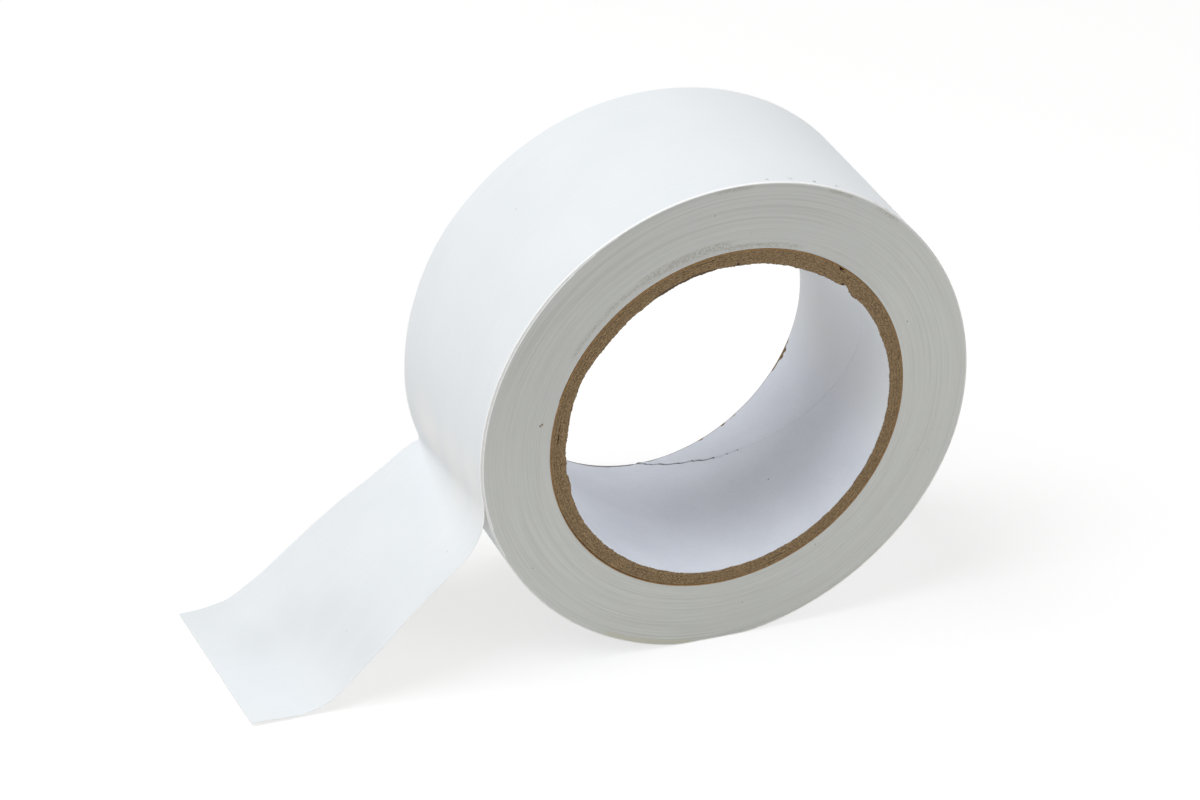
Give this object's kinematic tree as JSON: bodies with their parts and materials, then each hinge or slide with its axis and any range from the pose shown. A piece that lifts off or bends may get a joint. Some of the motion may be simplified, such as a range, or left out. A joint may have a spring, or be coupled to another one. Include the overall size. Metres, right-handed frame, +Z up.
{
  "type": "roll of floor marking tape",
  "caption": "Roll of floor marking tape: a laminated paper core, a wound pack of white film and a peeled tail that lifts, flexes and travels round the roll.",
  "frame": {"origin": "on the floor, in the middle of the flat that the rim rests on, straight under the roll's axis", "axes": "+Z up, +Y along the roll's axis towards its back face, -X towards the peeled tail"},
  "size_m": [0.164, 0.048, 0.1128],
  "materials": {
    "liner_paper": "matte",
    "core_board": "matte",
    "kraft_paper": "matte",
    "wound_film_edges": "satin",
    "white_film": "satin"
  },
  "bodies": {
    "roll": {"core_liner": "liner_paper", "core_ply_1": "core_board", "core_ply_2": "core_board", "core_ply_3": "core_board", "core_ply_4": "core_board", "core_outer_ply": "kraft_paper", "tape_winding": "wound_film_edges", "tape_outer_turn": "white_film"},
    "peel_strip": {"tape_peel_strip": "white_film"},
    "tail_root": {"tape_tail_root": "white_film"},
    "tail_middle": {"tape_tail_middle": "white_film"},
    "tail_end": {"tape_tail_end": "white_film"}
  },
  "joints": [
    {"name": "unwind", "type": "hinge", "parent": "roll", "child": "peel_strip", "pos_m": [0, 0, 0.05603], "axis": [0, 1, 0], "continuous": true},
    {"name": "tail_lift", "type": "hinge", "parent": "peel_strip", "child": "tail_root", "pos_m": [-0.05733, 0, 0.03264], "axis": [0.141, 0.9894, 0.0339], "range_deg": [-50, 90]},
    {"name": "tail_mid_flex", "type": "hinge", "parent": "tail_root", "child": "tail_middle", "pos_m": [-0.07449, 0, 0.01782], "axis": [0.0163, 0.9998, 0.0091], "range_deg": [-30, 30]},
    {"name": "tail_end_flex", "type": "hinge", "parent": "tail_middle", "child": "tail_end", "pos_m": [-0.09544, 0, 0.00109], "axis": [-0.0054, 0.9997, 0.0242], "range_deg": [-30, 30]}
  ]
}
